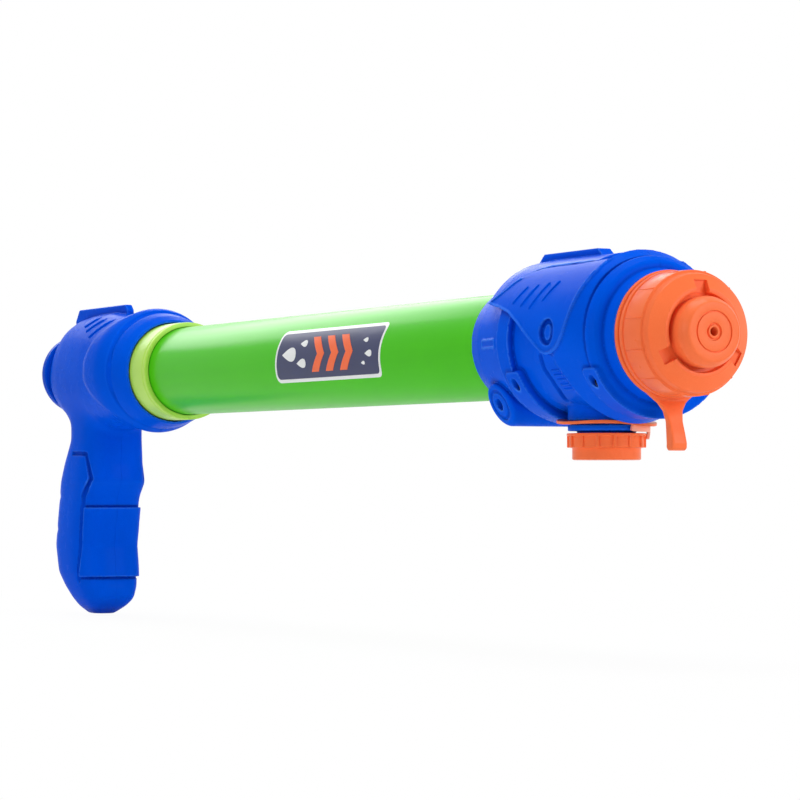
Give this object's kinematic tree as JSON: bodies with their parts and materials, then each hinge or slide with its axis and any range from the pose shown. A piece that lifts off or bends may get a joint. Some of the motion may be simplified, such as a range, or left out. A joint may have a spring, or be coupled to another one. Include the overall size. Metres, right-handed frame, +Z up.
{
  "type": "water squirter",
  "caption": "Push-pull water squirter: long tube barrel, pistol-grip handle on a sliding plunger, bulky front housing, screw-on nozzle and a tethered screw cap below for filling.",
  "frame": {"origin": "under the middle of the object's length, level with the foot of the grip", "axes": "+X forward along the barrel to the nozzle, +Z up, +Y to the left of the person who holds it"},
  "size_m": [0.6302, 0.0676, 0.1633],
  "materials": {
    "blue_plastic": "satin moulded",
    "orange_plastic": "satin moulded",
    "green_tube": "smooth extruded",
    "lime_collar": "satin moulded",
    "white_plastic": "plain moulded",
    "seal_rubber": "moulded",
    "screw_steel": "plated"
  },
  "bodies": {
    "barrel": {"barrel_tube": "green_tube", "rear_collar": "lime_collar", "rod_guide": "white_plastic", "water_manifold": "blue_plastic", "tube_seal": "seal_rubber", "front_shell_left": "blue_plastic", "front_shell_right": "blue_plastic", "ear_screw_1": "screw_steel", "ear_screw_2": "screw_steel", "ear_screw_3": "screw_steel", "ear_screw_4": "screw_steel", "shell_screw_1": "screw_steel", "shell_screw_2": "screw_steel"},
    "handle": {"handle_shell_left": "blue_plastic", "handle_shell_right": "blue_plastic", "handle_end_cap": "blue_plastic", "plunger_rod": "white_plastic", "piston": "white_plastic", "piston_seal": "seal_rubber", "piston_screw": "screw_steel", "handle_screw_1": "screw_steel", "handle_screw_2": "screw_steel", "handle_screw_3": "screw_steel", "handle_screw_4": "screw_steel"},
    "lock_ring": {"nozzle_lock_ring": "orange_plastic"},
    "nozzle_seat": {"nozzle_gasket": "seal_rubber"},
    "nozzle": {"nozzle_cap": "orange_plastic", "nozzle_tip": "orange_plastic"},
    "fill_tether": {"tether_ring": "orange_plastic", "tether_strap": "orange_plastic"},
    "fill_lid": {"fill_cap": "orange_plastic", "fill_gasket": "seal_rubber"}
  },
  "joints": [
    {"name": "handle_slide", "type": "slide", "parent": "barrel", "child": "handle", "axis": [-1, 0, 0], "range_m": [0, 0.35]},
    {"name": "lock_ring_turn", "type": "hinge", "parent": "barrel", "child": "lock_ring", "pos_m": [0.285, 0, 0.126], "axis": [1, 0, 0], "range_deg": [0, 60]},
    {"name": "nozzle_travel", "type": "slide", "parent": "barrel", "child": "nozzle_seat", "axis": [1, 0, 0], "range_m": [0, 0.0121]},
    {"name": "nozzle_turn", "type": "hinge", "parent": "nozzle_seat", "child": "nozzle", "pos_m": [0.3, 0, 0.126], "axis": [1, 0, 0], "range_deg": [0, 1080]},
    {"name": "fill_turn", "type": "hinge", "parent": "barrel", "child": "fill_tether", "pos_m": [0.23895, 0, 0.085], "axis": [0, 0, -1], "range_deg": [0, 720]},
    {"name": "fill_travel", "type": "slide", "parent": "fill_tether", "child": "fill_lid", "axis": [0, 0, -1], "range_m": [0, 0.0081]}
  ],
  "couplings": [
    {"joint": "nozzle_travel", "follows": "nozzle_turn", "m_per_rad": 0.00063662},
    {"joint": "fill_travel", "follows": "fill_turn", "m_per_rad": 0.00063662}
  ]
}
